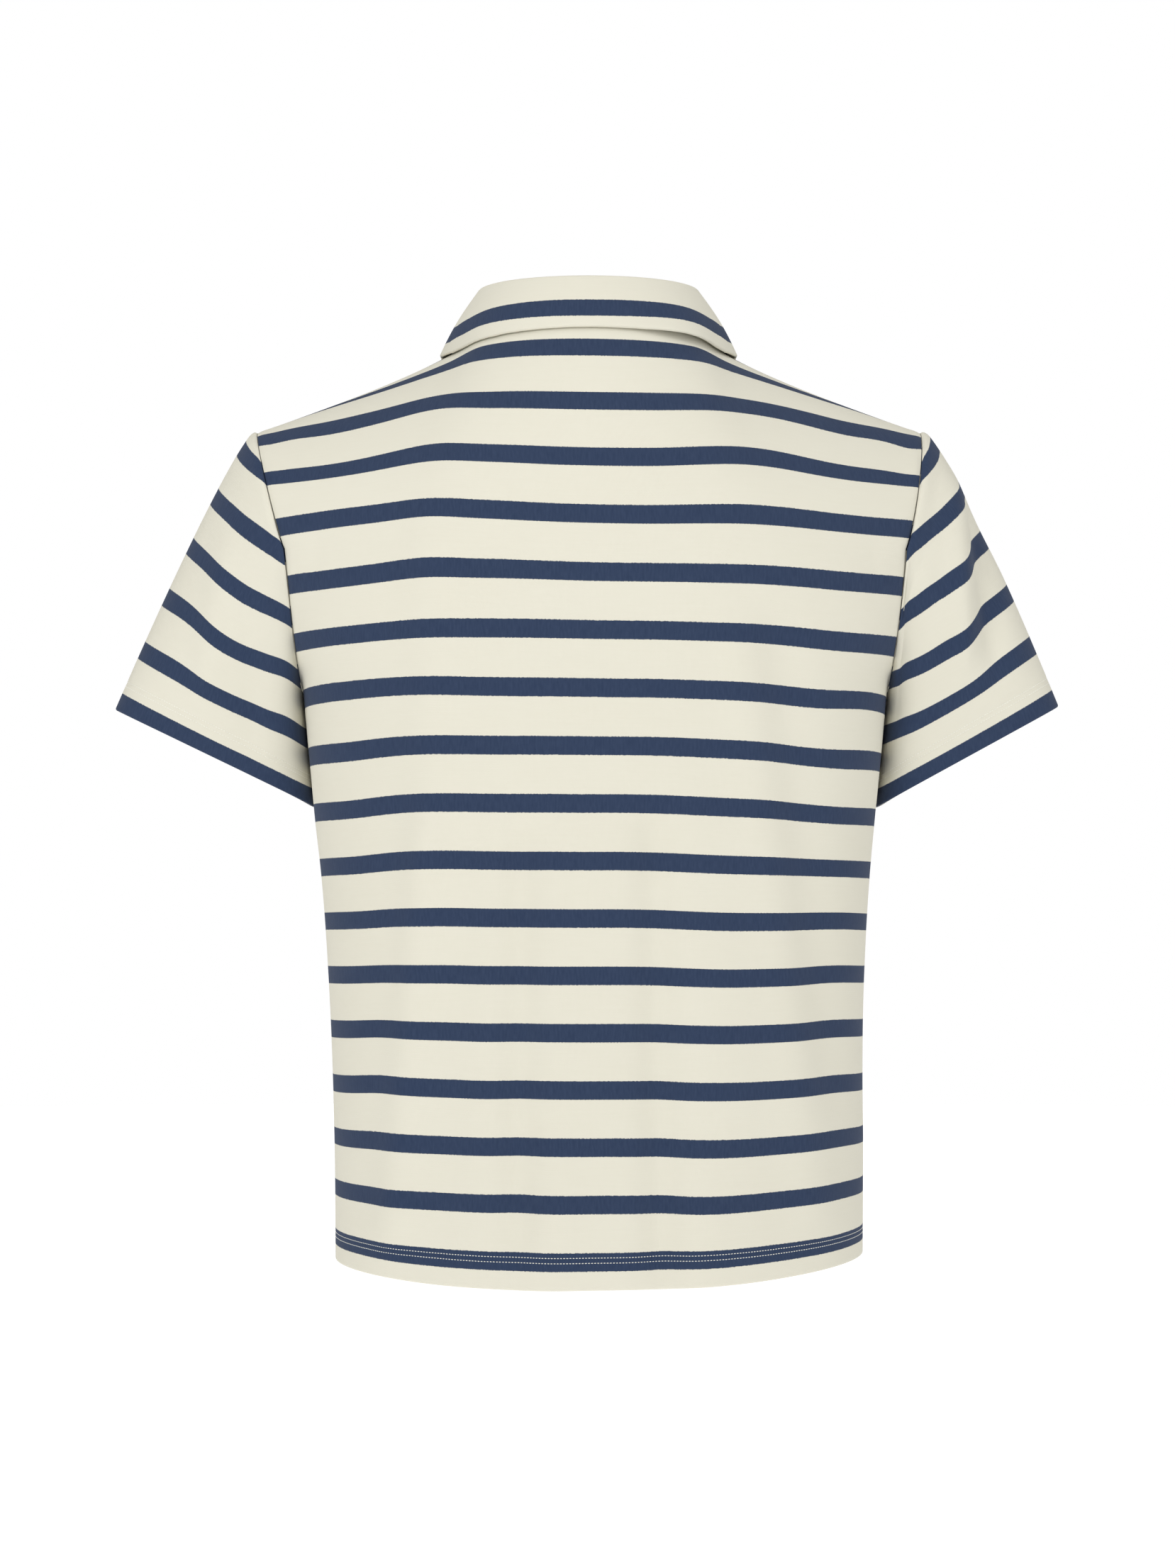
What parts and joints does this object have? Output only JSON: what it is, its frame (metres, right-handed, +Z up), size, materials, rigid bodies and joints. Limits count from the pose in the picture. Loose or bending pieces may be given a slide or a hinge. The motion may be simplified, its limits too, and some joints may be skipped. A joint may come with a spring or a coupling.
{
  "type": "polo shirt",
  "caption": "Short-sleeved boxy polo shirt in striped cotton jersey with a folded collar and buttoned placket, filled out hollow as if worn.",
  "frame": {"origin": "middle of the base of the neck, level with the neck ends of the shoulder seams, where the shirt hangs from its wearer", "axes": "+Z up along the body, the front faces -Y, +X to the wearer's left"},
  "size_m": [0.584, 0.2364, 0.5974],
  "materials": {
    "body_jersey": "cream cotton jersey knit with navy stripes",
    "sleeve_jersey": "cream cotton jersey knit with navy stripes",
    "collar_jersey": "cream cotton jersey knit with one navy stripe",
    "placket_jersey": "cream cotton jersey knit with navy stripes",
    "button_shell": "polished, mother-of-pearl look"
  },
  "bodies": {
    "root": {"back": "body_jersey", "front": "body_jersey", "sleeve_left": "sleeve_jersey", "sleeve_right": "sleeve_jersey", "collar": "collar_jersey", "placket_over": "placket_jersey", "placket_under": "placket_jersey", "button_1": "button_shell", "button_2": "button_shell", "button_3": "button_shell"}
  },
  "joints": []
}
